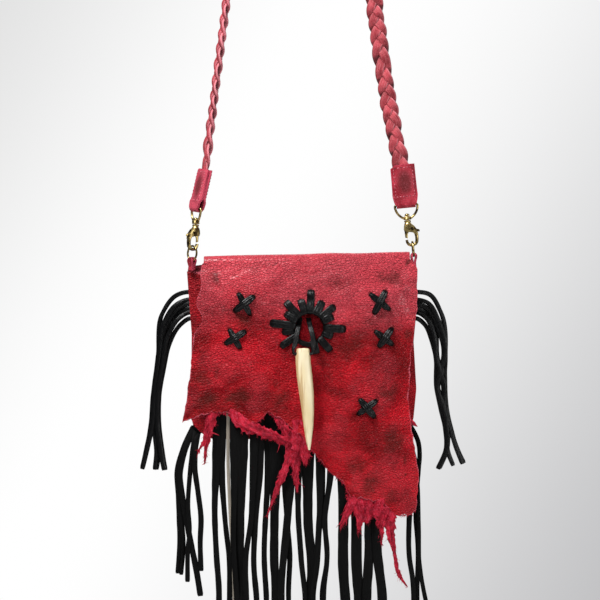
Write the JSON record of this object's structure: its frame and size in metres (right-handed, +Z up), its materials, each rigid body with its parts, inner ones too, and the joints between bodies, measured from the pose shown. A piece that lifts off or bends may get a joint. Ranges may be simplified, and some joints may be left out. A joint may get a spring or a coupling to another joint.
{
  "type": "fringe crossbody bag",
  "caption": "Red leather fold-over crossbody bag with a torn flap, black lace stitching and fringe, a tooth pendant and a braided strap on swivel clasps.",
  "frame": {"origin": "underside of the strap's loop, where a peg or shoulder carries the bag", "axes": "+Z up, +Y out of the bag's flat back, +X to the right of someone who faces the flap"},
  "size_m": [0.2946, 0.0438, 0.942],
  "materials": {
    "red_leather": "distressed, satin",
    "black_lace": "smooth, satin",
    "antique_brass": "antiqued",
    "bone": "polished bone"
  },
  "bodies": {
    "bag": {"back_and_flap": "red_leather", "pouch_front": "red_leather", "braided_strap": "red_leather", "strap_tab_left": "red_leather", "strap_tab_right": "red_leather", "ring_loop_left": "red_leather", "ring_loop_right": "red_leather", "lacing_ring": "black_lace", "pendant_lace": "black_lace", "fringe_front": "black_lace", "cross_stitch_1": "black_lace", "cross_stitch_2": "black_lace", "cross_stitch_3": "black_lace", "cross_stitch_4": "black_lace", "cross_stitch_5": "black_lace", "side_tassel_left": "black_lace", "side_tassel_right": "black_lace", "fringe_corner_left": "black_lace", "fringe_corner_right": "black_lace", "clasp_eye_left": "antique_brass", "corner_ring_left": "antique_brass", "clasp_eye_right": "antique_brass", "corner_ring_right": "antique_brass"},
    "claw_left": {"clasp_hook_left": "antique_brass"},
    "claw_right": {"clasp_hook_right": "antique_brass"},
    "gate_left": {"clasp_gate_left": "antique_brass"},
    "gate_right": {"clasp_gate_right": "antique_brass"},
    "pendant": {"tooth_pendant": "bone"}
  },
  "joints": [
    {"name": "swivel_left", "type": "hinge", "parent": "bag", "child": "claw_left", "pos_m": [-0.094, 0.0055, -0.556], "axis": [0.0436, 0, 0.999], "range_deg": [-24, 24]},
    {"name": "gate_hinge_left", "type": "hinge", "parent": "claw_left", "child": "gate_left", "pos_m": [-0.09727, 0.00357, -0.57818], "axis": [-0.6422, 0.766, 0.028], "range_deg": [0, 26], "stiffness_Nm_per_rad": 0.004, "springref_deg": -20.05},
    {"name": "swivel_right", "type": "hinge", "parent": "bag", "child": "claw_right", "pos_m": [0.0962, 0.0064, -0.5523], "axis": [-0.0958, 0, 0.9954], "range_deg": [-24, 24]},
    {"name": "gate_hinge_right", "type": "hinge", "parent": "claw_right", "child": "gate_right", "pos_m": [0.10132, 0.0064, -0.57421], "axis": [0, -1, 0], "range_deg": [0, 26], "stiffness_Nm_per_rad": 0.004, "springref_deg": -20.05},
    {"name": "pendant_swing", "type": "hinge", "parent": "bag", "child": "pendant", "pos_m": [0.0027, -0.0216, -0.6875], "axis": [-1, 0, 0], "range_deg": [-2, 70]}
  ]
}
